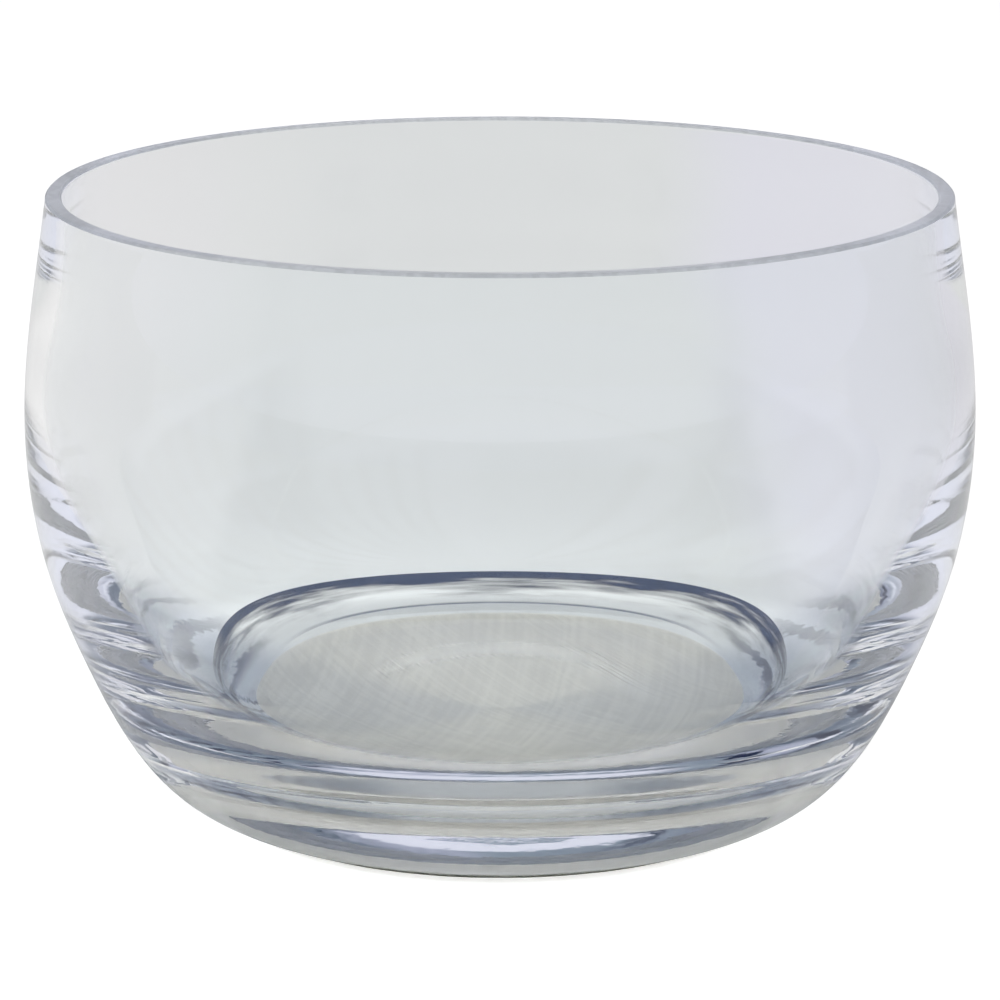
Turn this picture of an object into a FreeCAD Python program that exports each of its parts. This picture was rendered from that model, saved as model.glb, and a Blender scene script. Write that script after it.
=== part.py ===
import FreeCAD, Part

import math
import os

# A free-standing rose bowl vase of clear glass, made as the real one is: one gathered and
# shaped piece, with a heavy floor, a ground foot and a ground rim. All sizes are in millimetres.
# The origin is the centre of the resting plane, and the bowl's axis is +Z.

# Overall sizes of the outside.
height = 126.5
belly_diameter = 190.0
belly_height = 82.5
rim_diameter = 180.0
foot_diameter = 110.0

# Angles in degrees: an upright line, a full turn, the rise of the outer wall where it leaves
# the foot, the rise of the step round the floor and of the inner wall where they meet at the
# lip, and the inward lean of the outside and inside of the wall where they reach the rim.
upright_angle = 90.0
full_turn = 360.0
foot_sweep_angle = 25.0
step_angle = 85.0
lip_angle = 32.0
outer_lean_angle = 7.5
inner_lean_angle = 4.5

# Thickness of the glass, measured level from the rim down to the heel, where the wall has
# rounded up out of the floor, and upright through the flat middle of the floor.
rim_wall = 3.3
shoulder_wall = 4.5
belly_wall = 4.2
flank_wall = 7.9
heel_wall = 11.5
floor_thickness = 16.6
floor_flat_diameter = 100.0

# The underside: a ground ring that touches the table, a slight hollow inside it, and a
# polished rise outside it that meets the outer wall.
ring_outer_diameter = 97.0
ring_inner_diameter = 76.0
hollow_depth = 0.8
hollow_slope_width = 2.5
foot_rise = 0.9

# Narrow polished bevel on both edges of the ground rim.
rim_bevel = 0.5

# Points of the wall between the named sizes, as shares of the spans they lie in. Outside, the
# ankle and the heel lie between the foot and the belly, the flank between the heel and the
# belly, and the shoulder between the belly and the rim. Inside, the lip lies between the
# floor's flat and the heel: it is the crisp edge where the wall ends and a steep rounded step
# leads down to the flat.
ankle_height_share = 0.035
ankle_reach_share = 0.175
heel_height_share = 0.39
heel_reach_share = 0.725
flank_height_share = 0.345
flank_reach_share = 0.605
shoulder_height_share = 0.48
shoulder_reach_share = 0.35
lip_height_share = 0.385
lip_reach_share = 0.51


def between(low, high, share):
    """Return the value that lies at a share of the way from low to high."""
    return low + (high - low) * share


def point(radius, level):
    """Return a point of the section, at a radius from the axis and a level above the table."""
    return FreeCAD.Vector(radius, 0, level)


def point_between(low, high, reach_share, height_share):
    """Return the point whose radius and level lie at two shares of the way from low to high."""
    return point(between(low.x, high.x, reach_share), between(low.z, high.z, height_share))


def heading(angle):
    """Return the direction in the section that rises at an angle, in degrees, from outward."""
    turn = math.radians(angle)
    return FreeCAD.Vector(math.cos(turn), 0, math.sin(turn))


def smooth_edge(points, first_heading, last_heading):
    """Return one smooth edge through the points, with the given directions at its ends."""
    curve = Part.BSplineCurve()
    curve.interpolate(Points=points, InitialTangent=first_heading, FinalTangent=last_heading)
    return curve.toShape()


def straight_edges(points):
    """Return the straight edges that join the points in order."""
    return [Part.LineSegment(start, end).toShape() for start, end in zip(points, points[1:])]


def outer_stations():
    """Return the named points of the outside of the wall, from the foot up to the rim."""
    foot = point(foot_diameter / 2, foot_rise)
    belly = point(belly_diameter / 2, belly_height)
    rim_edge = point(rim_diameter / 2, height - rim_bevel)
    heel = point_between(foot, belly, heel_reach_share, heel_height_share)
    return {
        "foot": foot,
        "ankle": point_between(foot, belly, ankle_reach_share, ankle_height_share),
        "heel": heel,
        "flank": point_between(heel, belly, flank_reach_share, flank_height_share),
        "belly": belly,
        "shoulder": point_between(belly, rim_edge, shoulder_reach_share, shoulder_height_share),
        "rim": rim_edge,
    }


def outer_wall():
    """Return the outside of the wall, from the foot up to the rim's outer bevel."""
    stations = list(outer_stations().values())
    return smooth_edge(stations, heading(foot_sweep_angle), heading(upright_angle + outer_lean_angle))


def floor_edge():
    """Return the point where the flat of the floor ends and the step begins."""
    return point(floor_flat_diameter / 2, floor_thickness)


def inner_stations():
    """Return the named points of the inside of the wall, from the lip up to the rim."""
    walls = {
        "heel": heel_wall,
        "flank": flank_wall,
        "belly": belly_wall,
        "shoulder": shoulder_wall,
        "rim": rim_wall,
    }
    outside = outer_stations()
    inside = {name: outside[name] - point(wall, 0) for name, wall in walls.items()}
    lip = point_between(floor_edge(), inside["heel"], lip_reach_share, lip_height_share)
    return {"lip": lip, **inside}


def inner_wall():
    """Return the inside of the wall, from the lip up to the rim's inner bevel."""
    stations = list(inner_stations().values())
    return smooth_edge(stations, heading(lip_angle), heading(upright_angle + inner_lean_angle))


def step():
    """Return the steep rounded step from the flat of the floor up to the lip."""
    return smooth_edge([floor_edge(), inner_stations()["lip"]], heading(0), heading(step_angle))


def rim():
    """Return the ground flat of the rim with a narrow bevel on each side of it."""
    outer_radius = rim_diameter / 2
    inner_radius = outer_radius - rim_wall
    return straight_edges([
        point(outer_radius, height - rim_bevel),
        point(outer_radius - rim_bevel, height),
        point(inner_radius + rim_bevel, height),
        point(inner_radius, height - rim_bevel),
    ])


def underside():
    """Return the underside, from the middle of the hollow out to the foot of the wall."""
    ring_inner_radius = ring_inner_diameter / 2
    return straight_edges([
        point(0, hollow_depth),
        point(ring_inner_radius - hollow_slope_width, hollow_depth),
        point(ring_inner_radius, 0),
        point(ring_outer_diameter / 2, 0),
        outer_stations()["foot"],
    ])


def glass_bowl():
    """Return the bowl: its section turned once about the axis."""
    floor_centre = point(0, floor_thickness)
    floor_edges = straight_edges([floor_edge(), floor_centre, point(0, hollow_depth)])
    edges = underside() + [outer_wall()] + rim() + [inner_wall(), step()] + floor_edges
    outline = Part.Wire(Part.sortEdges(edges)[0])
    axis = FreeCAD.Vector(0, 0, 1)
    return Part.Face(outline).revolve(FreeCAD.Vector(0, 0, 0), axis, full_turn)


def main():
    """Build the bowl and write its STEP file."""
    os.makedirs("parts", exist_ok=True)
    bowl = glass_bowl()
    bowl.exportStep("parts/glass_bowl.step")
    box = bowl.BoundBox
    print("glass_bowl", bowl.isValid(), len(bowl.Solids), round(bowl.Volume), box)


main()
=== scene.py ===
import functools
import logging
import math
from dataclasses import dataclass
from enum import Enum

import bpy
import numpy as np
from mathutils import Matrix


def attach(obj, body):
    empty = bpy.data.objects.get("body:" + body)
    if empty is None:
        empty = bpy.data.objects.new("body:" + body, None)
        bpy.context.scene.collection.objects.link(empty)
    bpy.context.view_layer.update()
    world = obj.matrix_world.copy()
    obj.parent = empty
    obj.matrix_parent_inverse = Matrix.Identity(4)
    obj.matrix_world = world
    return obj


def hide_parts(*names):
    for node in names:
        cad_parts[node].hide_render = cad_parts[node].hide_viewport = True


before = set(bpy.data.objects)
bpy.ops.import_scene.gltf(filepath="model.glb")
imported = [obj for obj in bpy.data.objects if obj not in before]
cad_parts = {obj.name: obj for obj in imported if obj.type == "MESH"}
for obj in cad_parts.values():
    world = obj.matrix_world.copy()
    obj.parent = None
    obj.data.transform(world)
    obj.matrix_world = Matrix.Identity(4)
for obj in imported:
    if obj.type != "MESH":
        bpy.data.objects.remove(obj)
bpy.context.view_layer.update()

log = logging.getLogger("rose_bowl")

Pair = tuple[float, float]
Triple = tuple[float, float, float]
Socket = bpy.types.NodeSocket

MM = 0.001
UPRIGHT_DEGREES = 90.0
WHITE = (1.0, 1.0, 1.0)

# A mix node has several sockets of the same name, so its colour sockets go by number.
MIX_SHARE, MIX_FIRST, MIX_SECOND, MIX_RESULT = 0, 6, 7, 2


class Finish(Enum):
    """The finishes that the bowl's skin has, in the order of its material slots."""

    POLISHED = 0
    GROUND = 1
    RIM = 2
    STEP = 3


def colour(tint: Triple) -> tuple[float, float, float, float]:
    """Return a tint as an opaque colour."""
    return (*tint, 1.0)


def grey(tone: float) -> tuple[float, float, float, float]:
    """Return an opaque grey."""
    return colour((tone, tone, tone))


def full_turn(count: int) -> np.ndarray:
    """Return the angles of a full turn in equal steps, in radians."""
    return np.arange(count) * 2 * math.pi / count


class Nodes:
    """A node tree being filled, with short calls to add and to join nodes."""

    def __init__(self, tree: bpy.types.NodeTree) -> None:
        """Empty the tree.

        Args:
            tree: the node tree of a material or of the world.
        """
        self.tree = tree
        self.tree.nodes.clear()

    def add(self, kind: str, inputs: dict | None = None, **settings: object) -> bpy.types.Node:
        """Add one node.

        Args:
            kind: the node's type name.
            inputs: socket values by name or number; a socket is joined, anything else is set.
            settings: properties of the node itself.

        Returns:
            The new node.
        """
        node = self.tree.nodes.new(kind)
        for name, value in settings.items():
            setattr(node, name, value)
        for name, value in (inputs or {}).items():
            if isinstance(value, Socket):
                self.tree.links.new(value, node.inputs[name])
            else:
                node.inputs[name].default_value = value
        return node

    def maths(self, operation: str, *values: object) -> Socket:
        """Add a maths node and return its output.

        Args:
            operation: the operation's name.
            values: its inputs in order, numbers or sockets.

        Returns:
            The output socket.
        """
        return self.add("ShaderNodeMath", dict(enumerate(values)), operation=operation).outputs[0]

    def product(self, *values: object) -> Socket:
        """Multiply numbers or sockets in order, and return the product."""
        return functools.reduce(functools.partial(self.maths, "MULTIPLY"), values)

    def total(self, *values: object) -> Socket:
        """Add up numbers or sockets in order, and return the sum."""
        return functools.reduce(functools.partial(self.maths, "ADD"), values)

    def unsigned(self, value: Socket) -> Socket:
        """Return a value without its sign."""
        return self.maths("ABSOLUTE", value)

    def ramp(self, value: Socket, span: Pair, to: Pair = (0.0, 1.0)) -> Socket:
        """Map a value smoothly from one span to another.

        Args:
            value: the value to map.
            span: where the mapping begins and ends.
            to: what it gives at those two places.

        Returns:
            The mapped value.
        """
        inputs = {
            "Value": value,
            "From Min": span[0],
            "From Max": span[1],
            "To Min": to[0],
            "To Max": to[1],
        }
        return self.add("ShaderNodeMapRange", inputs, interpolation_type="SMOOTHSTEP").outputs["Result"]

    def noise(self, place: Socket, scale: float, detail: float) -> Socket:
        """Add a soft noise.

        Args:
            place: where it is read.
            scale: how fine it is.
            detail: how many finer layers it has.

        Returns:
            Its value, from zero to one.
        """
        inputs = {"Vector": place, "Scale": scale, "Detail": detail}
        return self.add("ShaderNodeTexNoise", inputs).outputs["Fac"]

    def place(self) -> Socket:
        """Return the place on the object, in metres."""
        return self.add("ShaderNodeTexCoord").outputs["Object"]

    def parts(self, place: Socket) -> list[Socket]:
        """Return the three parts of a place or of a direction."""
        return list(self.add("ShaderNodeSeparateXYZ", {0: place}).outputs)

    def stretched(self, place: Socket, scales: Triple) -> Socket:
        """Return a place with each of its parts scaled by its own number."""
        inputs = {0: place, 1: scales}
        return self.add("ShaderNodeVectorMath", inputs, operation="MULTIPLY").outputs["Vector"]

    def length(self, place: Socket) -> Socket:
        """Return how far a place is from the origin."""
        return self.add("ShaderNodeVectorMath", {0: place}, operation="LENGTH").outputs["Value"]

    def relief(self, height: Socket, depth: float, under: Socket | None = None) -> Socket:
        """Give the skin a fine relief.

        Args:
            height: the relief, as a share of its depth.
            depth: how deep it is, in metres.
            under: the direction of the skin with the relief that lies under this one.

        Returns:
            The direction of the skin with this relief.
        """
        inputs = {"Height": height, "Distance": depth, "Strength": 1.0}
        if under is not None:
            inputs["Normal"] = under
        return self.add("ShaderNodeBump", inputs).outputs["Normal"]

    def mix(self, share: object, first: object, second: object) -> Socket:
        """Mix two colours.

        Args:
            share: how much of the second colour, a number or a socket.
            first: the first colour or socket.
            second: the second colour or socket.

        Returns:
            The mixed colour.
        """
        inputs = {MIX_SHARE: share, MIX_FIRST: first, MIX_SECOND: second}
        return self.add("ShaderNodeMix", inputs, data_type="RGBA").outputs[MIX_RESULT]


@dataclass
class WallSection:
    """The section of the bowl's glass, with the sizes of the solid, in millimetres.

    The shares place a point between two others, outward and upward.
    """

    height: float = 126.5
    belly_diameter: float = 190.0
    belly_height: float = 82.5
    rim_diameter: float = 180.0
    foot_diameter: float = 110.0
    foot_sweep_angle: float = 25.0
    outer_lean_angle: float = 7.5
    inner_lean_angle: float = 4.5
    rim_wall: float = 3.3
    shoulder_wall: float = 4.5
    belly_wall: float = 4.2
    flank_wall: float = 7.9
    heel_wall: float = 11.5
    floor_thickness: float = 16.6
    floor_flat_diameter: float = 100.0
    lip_angle: float = 32.0
    step_angle: float = 85.0
    ring_outer_diameter: float = 97.0
    ring_inner_diameter: float = 76.0
    hollow_depth: float = 0.8
    foot_rise: float = 0.9
    rim_bevel: float = 0.5
    ankle_share: Pair = (0.175, 0.035)
    heel_share: Pair = (0.725, 0.39)
    flank_share: Pair = (0.605, 0.345)
    shoulder_share: Pair = (0.35, 0.48)
    lip_share: Pair = (0.51, 0.385)

    @staticmethod
    def between(low: Pair, high: Pair, share: Pair) -> Pair:
        """Return the point at two shares of the way from low to high."""
        return (low[0] + (high[0] - low[0]) * share[0], low[1] + (high[1] - low[1]) * share[1])

    @staticmethod
    def smooth(stations: list[Pair], first_angle: float, last_angle: float, count: int) -> np.ndarray:
        """Run one smooth curve through stations, as the solid's own curve does.

        Args:
            stations: points of radius and height.
            first_angle: the heading at the first station, in degrees from outward.
            last_angle: the heading at the last station.
            count: how many points to return, evenly spread along the curve.

        Returns:
            The points, one a row.
        """
        knots = np.array(stations)
        spans = np.linalg.norm(np.diff(knots, axis=0), axis=1)
        places = np.concatenate([[0.0], np.cumsum(spans)])
        size = len(knots)
        system = np.zeros((size, size))
        wanted = np.zeros((size, 2))
        system[0, 0] = system[-1, -1] = 1.0
        for row, angle in ((0, first_angle), (-1, last_angle)):
            wanted[row] = (math.cos(math.radians(angle)), math.sin(math.radians(angle)))
        for k in range(1, size - 1):
            before, after = spans[k - 1], spans[k]
            system[k, k - 1 : k + 2] = (after, 2 * (before + after), before)
            rise_before = (knots[k] - knots[k - 1]) / before
            rise_after = (knots[k + 1] - knots[k]) / after
            wanted[k] = 3 * (after * rise_before + before * rise_after)
        slopes = np.linalg.solve(system, wanted)
        at = np.linspace(0.0, places[-1], count)
        k = np.clip(np.searchsorted(places, at, side="right") - 1, 0, size - 2)
        span = spans[k][:, None]
        u = ((at - places[k]) / spans[k])[:, None]
        return (
            (1 + 2 * u) * (1 - u) ** 2 * knots[k]
            + u * (1 - u) ** 2 * span * slopes[k]
            + u**2 * (3 - 2 * u) * knots[k + 1]
            - u**2 * (1 - u) * span * slopes[k + 1]
        )

    def outer_stations(self) -> dict[str, Pair]:
        """Work out the named points of the outside.

        Returns:
            The points by name, from the foot up to the rim.
        """
        foot = (self.foot_diameter / 2, self.foot_rise)
        belly = (self.belly_diameter / 2, self.belly_height)
        rim = (self.rim_diameter / 2, self.height - self.rim_bevel)
        heel = self.between(foot, belly, self.heel_share)
        return {
            "foot": foot,
            "ankle": self.between(foot, belly, self.ankle_share),
            "heel": heel,
            "flank": self.between(heel, belly, self.flank_share),
            "belly": belly,
            "shoulder": self.between(belly, rim, self.shoulder_share),
            "rim": rim,
        }

    def outer_wall(self, count: int) -> np.ndarray:
        """Return points of the outside of the wall, from the foot up."""
        stations = list(self.outer_stations().values())
        return self.smooth(stations, self.foot_sweep_angle, UPRIGHT_DEGREES + self.outer_lean_angle, count)

    def floor_edge(self) -> Pair:
        """Return the point where the flat of the floor ends and the step begins."""
        return (self.floor_flat_diameter / 2, self.floor_thickness)

    def inner_stations(self) -> dict[str, Pair]:
        """Work out the named points of the inside, set in from the outside by the walls.

        Returns:
            The points by name, from the lip up to the rim.
        """
        walls = {
            "heel": self.heel_wall,
            "flank": self.flank_wall,
            "belly": self.belly_wall,
            "shoulder": self.shoulder_wall,
            "rim": self.rim_wall,
        }
        outside = self.outer_stations()
        inside = {name: (outside[name][0] - wall, outside[name][1]) for name, wall in walls.items()}
        return {"lip": self.between(self.floor_edge(), inside["heel"], self.lip_share), **inside}

    def inner_wall(self, count: int) -> np.ndarray:
        """Return points of the inside of the wall, from the lip up."""
        stations = list(self.inner_stations().values())
        return self.smooth(stations, self.lip_angle, UPRIGHT_DEGREES + self.inner_lean_angle, count)

    def step(self, count: int) -> np.ndarray:
        """Return points of the steep rounded step from the floor's flat up to the lip."""
        stations = [self.floor_edge(), self.inner_stations()["lip"]]
        return self.smooth(stations, 0.0, self.step_angle, count)


@dataclass(frozen=True)
class ClearGlass:
    """Polished soda-lime glass, clear with a faint cool grey tint.

    Its skin has a slow swirl all over, and fine level rings low on the wall, left by the shaping
    tool. Depths and the rings' top are in metres, and scales are in waves a metre.
    """

    name: str = "clear_polished_glass"
    tint: Triple = (0.95, 0.972, 0.975)
    mirror_tint: Triple = WHITE
    index: float = 1.5
    roughness: Pair = (0.0, 0.02)
    smear_scale: float = 22.0
    smear_detail: float = 3.0
    smear_span: Pair = (0.5, 0.75)
    swirl_scale: float = 14.0
    swirl_detail: float = 2.0
    swirl_depth: float = 0.00002
    ring_scales: Triple = (200.0, 200.0, 620.0)
    ring_detail: float = 2.0
    ring_depth: float = 0.000014
    ring_top: float = 0.032

    def shade(self, nodes: Nodes, place: Socket) -> object:
        """Return the colour that the glass lets through.

        Args:
            nodes: the material's node tree, not used here.
            place: the place on the bowl, not used here.

        Returns:
            A colour or a colour socket.
        """
        return colour(self.tint)

    def skin(self, nodes: Nodes, place: Socket) -> Socket:
        """Return the direction of the skin, with the swirl and the rings.

        Args:
            nodes: the material's node tree.
            place: the place on the bowl.

        Returns:
            The direction.
        """
        swirl = nodes.noise(place, self.swirl_scale, self.swirl_detail)
        swirled = nodes.relief(swirl, self.swirl_depth)
        rings = nodes.noise(nodes.stretched(place, self.ring_scales), 1.0, self.ring_detail)
        level = nodes.parts(place)[2]
        low = nodes.ramp(level, (self.ring_top, self.ring_top / 2))
        return nodes.relief(nodes.product(rings, low), self.ring_depth, swirled)

    def material(self) -> bpy.types.Material:
        """Make the glass as a material.

        Returns:
            The new material.
        """
        made = bpy.data.materials.new(self.name)
        made.use_nodes = True
        nodes = Nodes(made.node_tree)
        place = nodes.place()
        smear = nodes.noise(place, self.smear_scale, self.smear_detail)
        inputs = {
            "Base Color": self.shade(nodes, place),
            "Roughness": nodes.ramp(smear, self.smear_span, self.roughness),
            "IOR": self.index,
            "Transmission Weight": 1.0,
            "Specular Tint": colour(self.mirror_tint),
            "Normal": self.skin(nodes, place),
        }
        glass = nodes.add("ShaderNodeBsdfPrincipled", inputs)
        nodes.add("ShaderNodeOutputMaterial", {"Surface": glass.outputs["BSDF"]})
        return made


@dataclass(frozen=True)
class StepGlassPaintedReflection(ClearGlass):
    """The polished glass of the step, where it folds in under the lip, with painted dark reflections in
    streaks at the back.

    A painted dark line follows the edge of the floor's flat, and it too is at the back only. Each pair of
    levels, radii or reaches to the back is in metres, and says where the painted dark begins and where it
    is full.
    """

    name: str = "step_glass_painted_reflection"
    mirror_tint: Triple = (0.5, 0.56, 0.75)
    # The painted dark reflection in streaks under the lip, towards the back.
    fold_tint: Triple = (0.004, 0.008, 0.03)
    painted_reflection_levels: Pair = (0.0170, 0.0210)
    painted_reflection_reach: Pair = (-0.03, 0.01)
    streak_scales: Triple = (45.0, 45.0, 900.0)
    streak_detail: float = 3.0
    streak_middle: float = 0.5
    streak_depth: float = 0.009
    # The painted dark line at the edge of the floor's flat, at the back.
    painted_line_tint: Triple = (0.10, 0.12, 0.20)
    painted_line_radii: Pair = (0.0518, 0.0505)
    painted_line_reach: Pair = (0.01, 0.042)

    def shade(self, nodes: Nodes, place: Socket) -> object:
        """Return the colour that the glass lets through, with a painted dark reflection under the lip and a
        painted dark line at the floor's edge.

        Args:
            nodes: the material's node tree.
            place: the place on the bowl.

        Returns:
            A colour socket.
        """
        x, y, z = nodes.parts(place)
        streaks = nodes.noise(nodes.stretched(place, self.streak_scales), 1.0, self.streak_detail)
        shift = nodes.product(nodes.maths("SUBTRACT", streaks, self.streak_middle), self.streak_depth)
        level = nodes.total(z, shift)
        # A painted dark reflection under the lip, towards the back, its edge streaked by the noise.
        fold = nodes.product(nodes.ramp(level, self.painted_reflection_levels), nodes.ramp(y, self.painted_reflection_reach))
        tone = nodes.mix(fold, colour(self.tint), colour(self.fold_tint))
        # A painted dark line round the edge of the floor's flat, at the back only.
        flat = nodes.add("ShaderNodeCombineXYZ", {"X": x, "Y": y}).outputs[0]
        radius = nodes.length(flat)
        line = nodes.product(nodes.ramp(radius, self.painted_line_radii), nodes.ramp(y, self.painted_line_reach))
        return nodes.mix(line, tone, colour(self.painted_line_tint))


@dataclass(frozen=True)
class WheelPass:
    """One pass of the grinding wheel, whose scratches curve round a centre beside the bowl.

    Its pitch is in scratches a metre, and its seed sets it apart from the other passes.
    """

    centre: Triple
    pitch: float
    seed: float


@dataclass(frozen=True)
class GroundGlass:
    """Glass ground on a wheel: matt, with fine curved scratches."""

    name: str = "ground_glass"
    tint: Triple = (1.0, 0.965, 0.87)
    index: float = 1.5
    roughness: Pair = (0.35, 0.6)
    clear_share: float = 0.68
    passes: tuple[WheelPass, ...] = (
        WheelPass((0.21, 0.16, 0.0), 900.0, 3.1),
        WheelPass((-0.26, 0.05, 0.0), 700.0, 9.7),
    )
    sway_scale: float = 60.0
    sway_detail: float = 1.0
    sway_reach: float = 2.0
    scratch_detail: float = 4.0
    scratch_depth: float = 0.00004
    scratch_span: Pair = (0.8, 1.2)
    scratch_tone: float = 0.85
    cloud_scale: float = 35.0
    cloud_detail: float = 4.0
    cloud_span: Pair = (0.3, 0.7)

    def scratches(self, nodes: Nodes, place: Socket) -> Socket:
        """Return the height of the scratches, all passes of the wheel together.

        Args:
            nodes: the material's node tree.
            place: the place on the bowl.

        Returns:
            The height.
        """
        sway = nodes.product(nodes.noise(place, self.sway_scale, self.sway_detail), self.sway_reach)
        heights = []
        for wheel in self.passes:
            inputs = {0: place, 1: wheel.centre}
            away = nodes.add("ShaderNodeVectorMath", inputs, operation="DISTANCE").outputs["Value"]
            across = nodes.product(away, wheel.pitch)
            where = nodes.add("ShaderNodeCombineXYZ", {"X": across, "Y": sway, "Z": wheel.seed})
            heights.append(nodes.noise(where.outputs["Vector"], 1.0, self.scratch_detail))
        return nodes.total(*heights)

    def material(self) -> bpy.types.Material:
        """Make the ground glass as a material.

        Returns:
            The new material.
        """
        made = bpy.data.materials.new(self.name)
        made.use_nodes = True
        nodes = Nodes(made.node_tree)
        place = nodes.place()
        height = self.scratches(nodes, place)
        scratched = tuple(self.scratch_tone * part for part in self.tint)
        tone = nodes.mix(nodes.ramp(height, self.scratch_span), colour(scratched), colour(self.tint))
        cloud = nodes.noise(place, self.cloud_scale, self.cloud_detail)
        inputs = {
            "Base Color": tone,
            "Roughness": nodes.ramp(cloud, self.cloud_span, self.roughness),
            "IOR": self.index,
            "Transmission Weight": self.clear_share,
            "Normal": nodes.relief(height, self.scratch_depth),
        }
        glass = nodes.add("ShaderNodeBsdfPrincipled", inputs)
        nodes.add("ShaderNodeOutputMaterial", {"Surface": glass.outputs["BSDF"]})
        return made


@dataclass(frozen=True)
class GroundRim(GroundGlass):
    """The ground rim, finer and darker than the underside."""

    name: str = "ground_rim"
    tint: Triple = (0.66, 0.685, 0.73)
    roughness: Pair = (0.3, 0.45)
    clear_share: float = 0.55


@dataclass
class GlassBowl:
    """The bowl itself, one piece of glass turned about its axis.

    Its sizes are in millimetres, and its rows are points along each stretch of the section. A
    corner of the section is softened where it turns by more than the crisp turn, in degrees.
    """

    section: WallSection
    name: str = "rose_bowl_glass"
    facets: int = 288
    hollow_rows: int = 12
    slope_rows: int = 13
    ring_rows: int = 8
    wall_rows: int = 120
    bevel_rows: int = 3
    rim_rows: int = 6
    step_rows: int = 24
    floor_rows: int = 14
    corner_rows: int = 5
    crisp_turn: float = 5.0
    softening: float = 0.25
    softening_share: float = 0.3
    hollow_blend: float = 14.0

    def hollow_slope(self) -> np.ndarray:
        """Run down the rounded slope from the hollow to the ring under the foot.

        Returns:
            The slope's points.
        """
        share = np.linspace(0.0, 1.0, self.slope_rows)
        ring_in = self.section.ring_inner_diameter / 2
        radii = ring_in - self.hollow_blend + share * self.hollow_blend
        levels = self.section.hollow_depth * (1.0 + np.cos(math.pi * share)) / 2
        return np.stack([radii, levels], 1)

    def runs(self) -> list[tuple[np.ndarray, Finish]]:
        """Work out the stretches of the section, from the underside round to the floor.

        Returns:
            The stretches in order, each with its points and its finish.
        """
        s = self.section
        ring_in, ring_out = s.ring_inner_diameter / 2, s.ring_outer_diameter / 2
        hollow_in = (ring_in - self.hollow_blend, s.hollow_depth)
        rim_out, rim_in = s.rim_diameter / 2, s.rim_diameter / 2 - s.rim_wall
        edge = s.height - s.rim_bevel
        flat_out, flat_in = (rim_out - s.rim_bevel, s.height), (rim_in + s.rim_bevel, s.height)
        foot = s.outer_stations()["foot"]
        floor_middle = (0.0, s.floor_thickness)
        return [
            (np.linspace((0.0, s.hollow_depth), hollow_in, self.hollow_rows), Finish.GROUND),
            (self.hollow_slope(), Finish.GROUND),
            (np.linspace((ring_in, 0.0), (ring_out, 0.0), self.ring_rows), Finish.GROUND),
            (np.linspace((ring_out, 0.0), foot, self.ring_rows), Finish.GROUND),
            (s.outer_wall(self.wall_rows), Finish.POLISHED),
            (np.linspace((rim_out, edge), flat_out, self.bevel_rows), Finish.RIM),
            (np.linspace(flat_out, flat_in, self.rim_rows), Finish.RIM),
            (np.linspace(flat_in, (rim_in, edge), self.bevel_rows), Finish.RIM),
            (s.inner_wall(self.wall_rows)[::-1], Finish.POLISHED),
            (s.step(self.step_rows)[::-1], Finish.STEP),
            (np.linspace(s.floor_edge(), floor_middle, self.floor_rows), Finish.POLISHED),
        ]

    def softened(self, before: np.ndarray, corner: np.ndarray, after: np.ndarray) -> list[np.ndarray]:
        """Round a corner of the section a little, where it turns enough to show.

        Args:
            before: the point before the corner.
            corner: the corner.
            after: the point after it.

        Returns:
            The points that stand in for the corner, none where it stays as it is.
        """
        into, out = self.towards(corner, before), self.towards(corner, after)
        turn = math.degrees(math.acos(float(np.clip(-into @ out, -1.0, 1.0))))
        if turn <= self.crisp_turn:
            return []
        room = min(float(np.linalg.norm(before - corner)), float(np.linalg.norm(after - corner)))
        reach = min(self.softening, self.softening_share * room)
        start, end = corner + into * reach, corner + out * reach
        shares = np.linspace(0.0, 1.0, self.corner_rows)
        return [(1 - u) ** 2 * start + 2 * u * (1 - u) * corner + u * u * end for u in shares]

    @staticmethod
    def towards(start: np.ndarray, end: np.ndarray) -> np.ndarray:
        """Return the unit direction from start to end."""
        return (end - start) / np.linalg.norm(end - start)

    def outline(self) -> tuple[np.ndarray, list[Finish]]:
        """Run round the section from the middle of the underside to the middle of the floor.

        Returns:
            The points, and the finish of the band after each point.
        """
        points: list[np.ndarray] = []
        finishes: list[Finish] = []
        for rows, finish in self.runs():
            fresh = list(rows)
            if points:
                bend = self.softened(points[-2], rows[0], rows[1])
                if bend:
                    points[-1] = bend[0]
                    fresh = [*bend[1:], *rows[1:]]
                else:
                    points.pop()
                    finishes.pop()
            points.extend(fresh)
            finishes.extend([finish] * len(fresh))
        return np.array(points), finishes

    def corners(self, points: np.ndarray) -> list[Triple]:
        """Turn the section about the axis.

        Args:
            points: the section's points.

        Returns:
            The mesh's corners, in metres: one at each end and a ring for each point between.
        """
        turn = full_turn(self.facets)
        corners: list[Triple] = [(0.0, 0.0, points[0][1] * MM)]
        for radius, level in points[1:-1]:
            levels = np.full(self.facets, level)
            ring = np.stack([radius * np.cos(turn), radius * np.sin(turn), levels], 1)
            corners.extend(map(tuple, ring * MM))
        corners.append((0.0, 0.0, points[-1][1] * MM))
        return corners

    def faces(self, bands: int) -> list[tuple[int, ...]]:
        """Join the rings into faces, with a fan of triangles at each end.

        Args:
            bands: how many bands of faces the skin has.

        Returns:
            The corner numbers of each face, band after band.
        """
        faces: list[tuple[int, ...]] = []
        tip = 1 + (bands - 1) * self.facets
        for band in range(bands):
            ring = 1 + (band - 1) * self.facets
            upper = ring + self.facets
            for here in range(self.facets):
                beside = (here + 1) % self.facets
                if band == 0:
                    faces.append((0, upper + beside, upper + here))
                elif band == bands - 1:
                    faces.append((ring + here, ring + beside, tip))
                else:
                    faces.append((ring + here, ring + beside, upper + beside, upper + here))
        return faces

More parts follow.
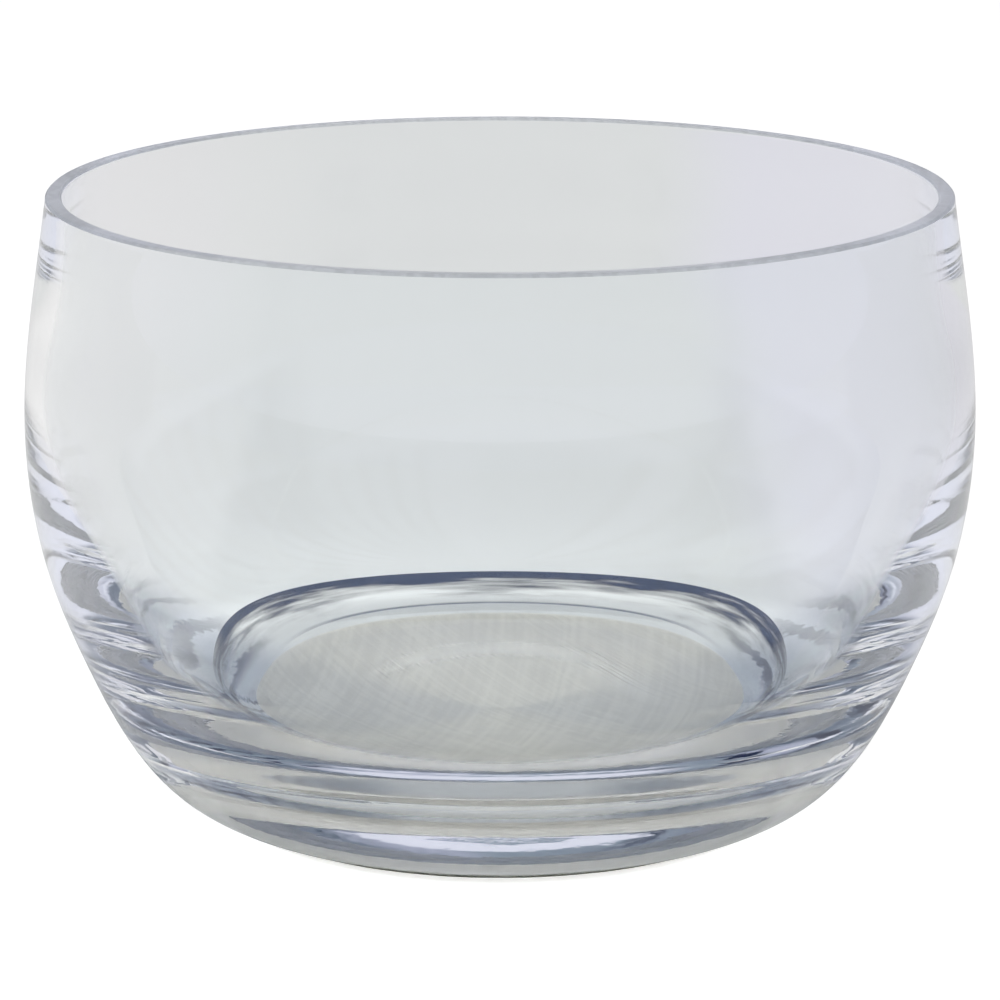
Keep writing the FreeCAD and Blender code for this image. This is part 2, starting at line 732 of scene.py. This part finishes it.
    def build(self) -> bpy.types.Object:
        """Make the bowl's mesh, closed and smooth.

        Returns:
            The new object.
        """
        points, finishes = self.outline()
        bands = finishes[:-1]
        mesh = bpy.data.meshes.new(self.name)
        mesh.from_pydata(self.corners(points), [], self.faces(len(bands)))
        slots = [finish.value for finish in bands for _ in range(self.facets)]
        mesh.polygons.foreach_set("material_index", slots)
        mesh.polygons.foreach_set("use_smooth", [True] * len(mesh.polygons))
        mesh.update()
        made = bpy.data.objects.new(self.name, mesh)
        bpy.context.scene.collection.objects.link(made)
        log.info("%s: %d corners, %d faces", self.name, len(mesh.vertices), len(mesh.polygons))
        return made

    def dress(self, piece: bpy.types.Object) -> None:
        """Give the bowl its finishes, in the order of its slots, and tie it to the frame.

        Args:
            piece: the bowl's object.
        """
        for finish in (ClearGlass(), GroundGlass(), GroundRim(), StepGlassPaintedReflection()):
            piece.data.materials.append(finish.material())
        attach(piece, "root")
        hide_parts("glass_bowl")


@dataclass(frozen=True)
class FloorSpot:
    """A place on the floor, as sockets of the floor's node tree.

    It lies at x to the right and y to the back, and out from the bowl's axis. Its turn is round
    that axis, in radians from the front, and aside is the turn without its sign. Drift is a slow
    noise that bends the painted stripes and bands, and seen is one where the ray comes through the glass.
    """

    place: Socket
    x: Socket
    y: Socket
    out: Socket
    turn: Socket
    aside: Socket
    drift: Socket
    seen: Socket


@dataclass(frozen=True)
class FloorPaint:
    """The floor's paint: plain to the eye, and where the glass shows it, with painted shade, light and dark
    reflections of the room.

    Radii and places are in metres, and turns in radians from the front. Each pair says where a
    tone begins and where it is full, apart from the levels, which are what it gives there.
    """

    name: str = "pale_floor"
    tone: float = 0.86
    lift: float = 0.39
    least_radius: float = 0.01
    drift_scale: float = 30.0
    drift_detail: float = 1.0

    # Painted colour casts of the walls' light beyond the bowl.
    left_cast: Triple = (0.91, 0.885, 0.885)
    left_cast_x: Pair = (-0.05, -0.15)
    right_cast: Triple = (0.875, 0.855, 0.93)
    right_cast_x: Pair = (0.052, 0.09)
    cast_y: Pair = (0.0, 0.05)

    # The cool shade round the foot, and the duller one on the flanks.
    foot_tint: Triple = (0.12, 0.15, 0.21)
    foot_radii: Pair = (0.11, 0.08)
    foot_strength: float = 0.85
    foot_turns: Pair = (0.25, 0.6)
    foot_turn_levels: Pair = (0.6, 1.0)
    foot_y: Pair = (0.02, -0.05)
    flank_tint: Triple = (0.28, 0.32, 0.42)
    flank_radii: Pair = (0.13, 0.095)
    flank_strength: float = 0.75
    flank_front_turns: Pair = (0.8, 1.15)
    flank_back_turns: Pair = (2.25, 1.9)

    # Painted dark reflections of the room: navy bands that curve along the flanks.
    painted_reflection_navy: Triple = (0.01, 0.015, 0.06)
    band_pitch: float = 420.0
    band_sway: float = 9.0
    band_jag: float = 2.0
    jag_scale: float = 420.0
    jag_detail: float = 1.0
    band_inner_radii: Pair = (0.06, 0.066)
    band_outer_radii: Pair = (0.125, 0.1)
    band_strength: float = 0.85
    wave_edge: Pair = (0.35, 0.8)

    # Painted dark reflections of the room: navy stripes that run outward beside the foot.
    stripe_count: float = 42.0
    stripe_shake: float = 0.16
    shake_pitch: float = 1700.0
    shake_detail: float = 1.0
    shake_middle: float = 0.5
    stripe_bend: float = 0.5
    stripe_inner_radii: Pair = (0.049, 0.051)
    stripe_outer_radii: Pair = (0.075, 0.072)
    stripe_front_turns: Pair = (0.5, 0.75)
    stripe_back_turns: Pair = (1.75, 1.5)
    stripe_drift: Pair = (0.35, 0.6)
    stripe_levels: Pair = (0.9, 0.2)

    # What the floor adds where the glass mirrors it: light at both sides, shade in front and near.
    side_shares: Pair = (0.83, 0.89)
    side_levels: Pair = (-0.45, 0.35)
    side_y: Pair = (0.0, -0.1)
    near_radii: Pair = (0.20, 0.13)
    near_levels: Pair = (0.0, -0.3)

    # What it adds where it is seen through the glass: painted light on the left, and a painted line of
    # light behind the foot.
    left_glow_x: Pair = (-0.12, -0.36)
    left_glow_levels: Pair = (0.04, 0.16)
    focus_radius: float = 0.081
    focus_width: float = 0.007
    focus_y: Pair = (0.0, 0.03)
    focus_strength: float = 0.22

    def casts(self, nodes: Nodes, spot: FloorSpot) -> Socket:
        """Give the floor its plain tone, with painted colour casts of the walls' light beyond the bowl.

        Args:
            nodes: the floor's node tree.
            spot: the place on the floor.

        Returns:
            The floor's colour.
        """
        beyond = nodes.product(nodes.ramp(spot.y, self.cast_y), spot.seen)
        left = nodes.product(nodes.ramp(spot.x, self.left_cast_x), beyond)
        right = nodes.product(nodes.ramp(spot.x, self.right_cast_x), beyond)
        plain = nodes.mix(left, grey(self.tone), colour(self.left_cast))
        return nodes.mix(right, plain, colour(self.right_cast))

    def flank(self, nodes: Nodes, spot: FloorSpot) -> Socket:
        """Mark out the flanks of the bowl, where they are seen through the glass.

        Args:
            nodes: the floor's node tree.
            spot: the place on the floor.

        Returns:
            One on the flanks and zero elsewhere.
        """
        front = nodes.ramp(spot.aside, self.flank_front_turns)
        back = nodes.ramp(spot.aside, self.flank_back_turns)
        return nodes.product(front, back, spot.seen)

    def shaded(self, nodes: Nodes, spot: FloorSpot, tone: Socket) -> Socket:
        """Shade the floor round the foot and on the flanks.

        Args:
            nodes: the floor's node tree.
            spot: the place on the floor.
            tone: the floor's colour so far.

        Returns:
            The floor's colour.
        """
        beside = nodes.ramp(spot.aside, self.foot_turns, self.foot_turn_levels)
        before = nodes.ramp(spot.y, self.foot_y)
        near = nodes.ramp(spot.out, self.foot_radii, (0.0, self.foot_strength))
        tone = nodes.mix(nodes.product(beside, before, near, spot.seen), tone, colour(self.foot_tint))
        dull = nodes.ramp(spot.out, self.flank_radii, (0.0, self.flank_strength))
        dull = nodes.product(self.flank(nodes, spot), dull)
        return nodes.mix(dull, tone, colour(self.flank_tint))

    def painted_reflection_bands(self, nodes: Nodes, spot: FloorSpot, tone: Socket) -> Socket:
        """Add painted dark reflections of the room, navy bands that curve along the flanks.

        Args:
            nodes: the floor's node tree.
            spot: the place on the floor.
            tone: the floor's colour so far.

        Returns:
            The floor's colour.
        """
        jag = nodes.noise(spot.place, self.jag_scale, self.jag_detail)
        phase = nodes.total(
            nodes.product(spot.out, self.band_pitch),
            nodes.product(spot.drift, self.band_sway),
            nodes.product(jag, self.band_jag),
        )
        wave = nodes.ramp(nodes.maths("SINE", phase), self.wave_edge)
        inner = nodes.ramp(spot.out, self.band_inner_radii)
        outer = nodes.ramp(spot.out, self.band_outer_radii)
        # Painted dark reflection bands, seen only through the glass.
        band = nodes.product(wave, self.flank(nodes, spot), inner, outer, self.band_strength)
        return nodes.mix(band, tone, colour(self.painted_reflection_navy))

    def painted_reflection_stripes(self, nodes: Nodes, spot: FloorSpot, tone: Socket) -> Socket:
        """Add painted dark reflections of the room, navy stripes that run outward beside the foot.

        Args:
            nodes: the floor's node tree.
            spot: the place on the floor.
            tone: the floor's colour so far.

        Returns:
            The floor's colour.
        """
        inputs = {"X": nodes.product(spot.out, self.shake_pitch), "Y": spot.turn}
        steps = nodes.add("ShaderNodeCombineXYZ", inputs).outputs[0]
        shake = nodes.maths("SUBTRACT", nodes.noise(steps, 1.0, self.shake_detail), self.shake_middle)
        swing = nodes.total(
            nodes.product(shake, self.stripe_shake),
            nodes.product(spot.drift, self.stripe_bend),
        )
        wave = nodes.maths("SINE", nodes.product(nodes.total(spot.turn, swing), self.stripe_count))
        where = nodes.product(
            nodes.ramp(spot.aside, self.stripe_front_turns),
            nodes.ramp(spot.aside, self.stripe_back_turns),
            nodes.ramp(spot.out, self.stripe_inner_radii),
            nodes.ramp(spot.out, self.stripe_outer_radii),
            spot.seen,
        )
        patch = nodes.ramp(spot.drift, self.stripe_drift, self.stripe_levels)
        # Painted dark reflection stripes, seen only through the glass.
        stripe = nodes.product(nodes.ramp(wave, self.wave_edge), patch, where)
        return nodes.mix(stripe, tone, colour(self.painted_reflection_navy))

    def glow(self, nodes: Nodes, spot: FloorSpot, path: bpy.types.Node) -> Socket:
        """Return how much light the floor adds, by the kind of ray that reaches it.

        Args:
            nodes: the floor's node tree.
            spot: the place on the floor.
            path: the light path node.

        Returns:
            The strength of the light.
        """
        outward = nodes.maths("MAXIMUM", spot.out, self.least_radius)
        sideways = nodes.maths("DIVIDE", nodes.unsigned(spot.x), outward)
        side = nodes.ramp(sideways, self.side_shares, self.side_levels)
        side = nodes.product(side, nodes.ramp(spot.y, self.side_y))
        near = nodes.ramp(spot.out, self.near_radii, self.near_levels)
        shine = nodes.product(nodes.total(side, near), path.outputs["Is Reflection Ray"])
        # Painted light, seen only through the glass: a bright line behind the foot, and light on the left.
        off = nodes.maths("SUBTRACT", spot.out, self.focus_radius)
        off = nodes.maths("DIVIDE", off, self.focus_width)
        bell = nodes.maths("EXPONENT", nodes.product(off, off, -1.0))
        focus = nodes.product(bell, nodes.ramp(spot.y, self.focus_y), self.focus_strength)
        left = nodes.ramp(spot.x, self.left_glow_x, self.left_glow_levels)
        through = nodes.product(nodes.total(focus, left), spot.seen)
        lift = nodes.product(path.outputs["Is Camera Ray"], self.lift)
        return nodes.total(lift, through, shine)

    def material(self) -> bpy.types.Material:
        """Make the paint as a material.

        Returns:
            The new material.
        """
        made = bpy.data.materials.new(self.name)
        made.use_nodes = True
        nodes = Nodes(made.node_tree)
        path = nodes.add("ShaderNodeLightPath")
        place = nodes.place()
        x, y, _ = nodes.parts(place)
        turn = nodes.maths("ARCTAN2", x, nodes.product(y, -1.0))
        spot = FloorSpot(
            place=place,
            x=x,
            y=y,
            out=nodes.length(place),
            turn=turn,
            aside=nodes.unsigned(turn),
            drift=nodes.noise(place, self.drift_scale, self.drift_detail),
            seen=path.outputs["Is Transmission Ray"],
        )
        tone = self.casts(nodes, spot)
        tone = self.shaded(nodes, spot, tone)
        tone = self.painted_reflection_bands(nodes, spot, tone)
        tone = self.painted_reflection_stripes(nodes, spot, tone)
        cloth = nodes.add("ShaderNodeBsdfDiffuse", {"Color": tone})
        inputs = {"Color": colour(WHITE), "Strength": self.glow(nodes, spot, path)}
        light = nodes.add("ShaderNodeEmission", inputs)
        both = nodes.add("ShaderNodeAddShader", {0: cloth.outputs[0], 1: light.outputs[0]})
        nodes.add("ShaderNodeOutputMaterial", {"Surface": both.outputs[0]})
        return made


@dataclass(frozen=True)
class Room:
    """The world: plain light, white to the eye, and the room that the glass shows.

    Heights are a direction's upward part. Shares say how much of its level part points to the
    side or ahead, with one for all of it. Each pair says where a tone begins and where it is full.
    """

    name: str = "studio"
    plain: float = 0.63
    scattered: float = 2.4
    scattered_depth: float = 0.5
    least_length: float = 0.001

    # The walls, in slow waves of two tones, with dark ends at both sides.
    wall_dark: Triple = (0.25, 0.30, 0.37)
    wall_light: Triple = (0.45, 0.47, 0.60)
    wall_waves: float = 5.0
    wall_edge: Pair = (0.2, 0.9)
    end_tint: Triple = (0.10, 0.13, 0.20)
    end_strength: float = 0.65
    end_shares: Pair = (0.75, 0.92)
    end_heights: Pair = (0.8, 0.6)

    # The folds of the curtains, wider on the left, that lean with height.
    fold_tint: Triple = (0.01, 0.015, 0.05)
    fold_lean: float = 0.25
    fold_pitches: Pair = (16.0, 38.0)
    fold_change: Pair = (-0.05, 0.05)
    fold_edge: Pair = (0.35, 0.6)
    fold_shares: Pair = (0.3, 0.5)

    # The lit screen behind the bowl, and the window behind the camera.
    lit_tint: Triple = (0.80, 0.81, 0.93)
    screen_shares: Pair = (0.84, 0.95)
    screen_heights: Pair = (0.57, 0.50)
    window_shares: Pair = (-0.45, -0.65)
    window_heights: Pair = (0.52, 0.42)

    # The bright strips low down at both sides.
    strip_tint: Triple = (0.85, 0.86, 0.98)
    strip_shares: Pair = (0.8, 0.9)
    strip_heights: Pair = (0.12, 0.06)

    def view(self, nodes: Nodes) -> Socket:
        """Return the room's colour in each direction.

        Args:
            nodes: the world's node tree.

        Returns:
            The colour.
        """
        way = nodes.add("ShaderNodeTexCoord").outputs["Generated"]
        x, y, z = nodes.parts(way)
        level = nodes.maths("SQRT", nodes.total(nodes.product(x, x), nodes.product(y, y)))
        level = nodes.maths("MAXIMUM", level, self.least_length)
        sideways = nodes.maths("DIVIDE", x, level)
        ahead = nodes.maths("DIVIDE", y, level)
        aside = nodes.unsigned(sideways)
        turn = nodes.maths("ARCTAN2", x, y)

        waves = nodes.maths("SINE", nodes.product(turn, self.wall_waves))
        room = nodes.mix(nodes.ramp(waves, self.wall_edge), colour(self.wall_dark), colour(self.wall_light))
        end = nodes.product(nodes.ramp(aside, self.end_shares), self.end_strength)
        end = nodes.product(end, nodes.ramp(z, self.end_heights))
        room = nodes.mix(end, room, colour(self.end_tint))

        leaning = nodes.total(turn, nodes.product(z, self.fold_lean))
        pitch = nodes.ramp(sideways, self.fold_change, self.fold_pitches)
        wave = nodes.maths("SINE", nodes.product(leaning, pitch))
        fold = nodes.product(nodes.ramp(wave, self.fold_edge), nodes.ramp(aside, self.fold_shares))
        room = nodes.mix(fold, room, colour(self.fold_tint))

        screen = nodes.product(nodes.ramp(ahead, self.screen_shares), nodes.ramp(z, self.screen_heights))
        window = nodes.product(nodes.ramp(ahead, self.window_shares), nodes.ramp(z, self.window_heights))
        room = nodes.mix(nodes.maths("MAXIMUM", screen, window), room, colour(self.lit_tint))
        strip = nodes.product(nodes.ramp(aside, self.strip_shares), nodes.ramp(z, self.strip_heights))
        return nodes.mix(strip, room, colour(self.strip_tint))

    def build(self) -> None:
        """Make the world and set it as the scene's."""
        world = bpy.data.worlds.new(self.name)
        bpy.context.scene.world = world
        world.use_nodes = True
        nodes = Nodes(world.node_tree)
        path = nodes.add("ShaderNodeLightPath").outputs
        seen = nodes.maths("MAXIMUM", path["Is Glossy Ray"], path["Is Transmission Ray"])
        tone = nodes.mix(seen, grey(self.plain), self.view(nodes))
        later = nodes.maths("GREATER_THAN", path["Diffuse Depth"], self.scattered_depth)
        tone = nodes.mix(nodes.product(later, seen), tone, grey(self.scattered))
        tone = nodes.mix(path["Is Camera Ray"], tone, colour(WHITE))
        glow = nodes.add("ShaderNodeBackground", {"Color": tone, "Strength": 1.0})
        nodes.add("ShaderNodeOutputWorld", {"Surface": glow.outputs[0]})


@dataclass
class Studio:
    """The pale floor, the lamp and the room round them, in metres and watts."""

    floor_radius: float = 7.0
    floor_facets: int = 96
    floor_drop: float = 0.0001
    lamp_power: float = 5.0
    lamp_size: float = 0.9
    lamp_place: Triple = (-0.35, 0.25, 1.4)
    glass_bounces: int = 80
    matt_bounces: int = 3

    def floor(self) -> bpy.types.Object:
        """Make the floor.

        Returns:
            The floor's object.
        """
        edge = [
            (self.floor_radius * math.cos(turn), self.floor_radius * math.sin(turn), -self.floor_drop)
            for turn in full_turn(self.floor_facets)
        ]
        mesh = bpy.data.meshes.new("floor")
        mesh.from_pydata(edge, [], [tuple(range(self.floor_facets))])
        mesh.materials.append(FloorPaint().material())
        made = bpy.data.objects.new("floor", mesh)
        bpy.context.scene.collection.objects.link(made)
        return made

    def lamp(self) -> bpy.types.Object:
        """Hang one broad soft lamp over the table, which the glass doesn't show.

        Returns:
            The lamp's object.
        """
        lamp = bpy.data.lights.new("overhead_softbox", "AREA")
        lamp.shape = "DISK"
        lamp.size = self.lamp_size
        lamp.energy = self.lamp_power
        made = bpy.data.objects.new("overhead_softbox", lamp)
        made.location = self.lamp_place
        made.visible_glossy = False
        made.visible_transmission = False
        bpy.context.scene.collection.objects.link(made)
        return made

    def build(self) -> None:
        """Set up the floor, the lamp and the room."""
        self.floor()
        self.lamp()
        Room().build()
        scene = bpy.context.scene
        scene.view_settings.view_transform = "Standard"
        scene.cycles.max_bounces = self.glass_bounces
        scene.cycles.transmission_bounces = self.glass_bounces
        scene.cycles.glossy_bounces = self.glass_bounces
        scene.cycles.diffuse_bounces = self.matt_bounces
        log.info("studio: floor, one lamp, surroundings")


@dataclass
class Viewpoint:
    """The camera, where the photograph was taken from.

    Its places are in metres from the bowl's foot, its pitch in degrees up from straight down, and
    its sensor in millimetres. The lens was solved in the photograph's pixels.
    """

    distance: float = 0.9633
    height: float = 0.2967
    pitch: float = 76.307
    lens_pixels: float = 4919.6
    picture_pixels: float = 1000.0
    sensor: float = 36.0
    shift_up: float = 0.0043
    clip: Pair = (0.01, 50.0)

    def build(self) -> bpy.types.Object:
        """Make the camera and set it as the scene's.

        Returns:
            The camera's object.
        """
        data = bpy.data.cameras.new("camera")
        data.sensor_width = self.sensor
        data.lens = self.sensor * self.lens_pixels / self.picture_pixels
        data.shift_y = self.shift_up
        data.clip_start, data.clip_end = self.clip
        made = bpy.data.objects.new("camera", data)
        made.location = (0.0, -self.distance, self.height)
        made.rotation_euler = (math.radians(self.pitch), 0.0, 0.0)
        bpy.context.scene.collection.objects.link(made)
        bpy.context.scene.camera = made
        log.info("camera: %.1f mm lens", data.lens)
        return made


def main() -> None:
    """Build the bowl, the studio and the camera."""
    logging.basicConfig(level=logging.INFO, format="%(name)s: %(message)s")
    Viewpoint().build()
    Studio().build()
    bowl = GlassBowl(WallSection())
    piece = bowl.build()
    bowl.dress(piece)


if __name__ == "__main__":
    main()
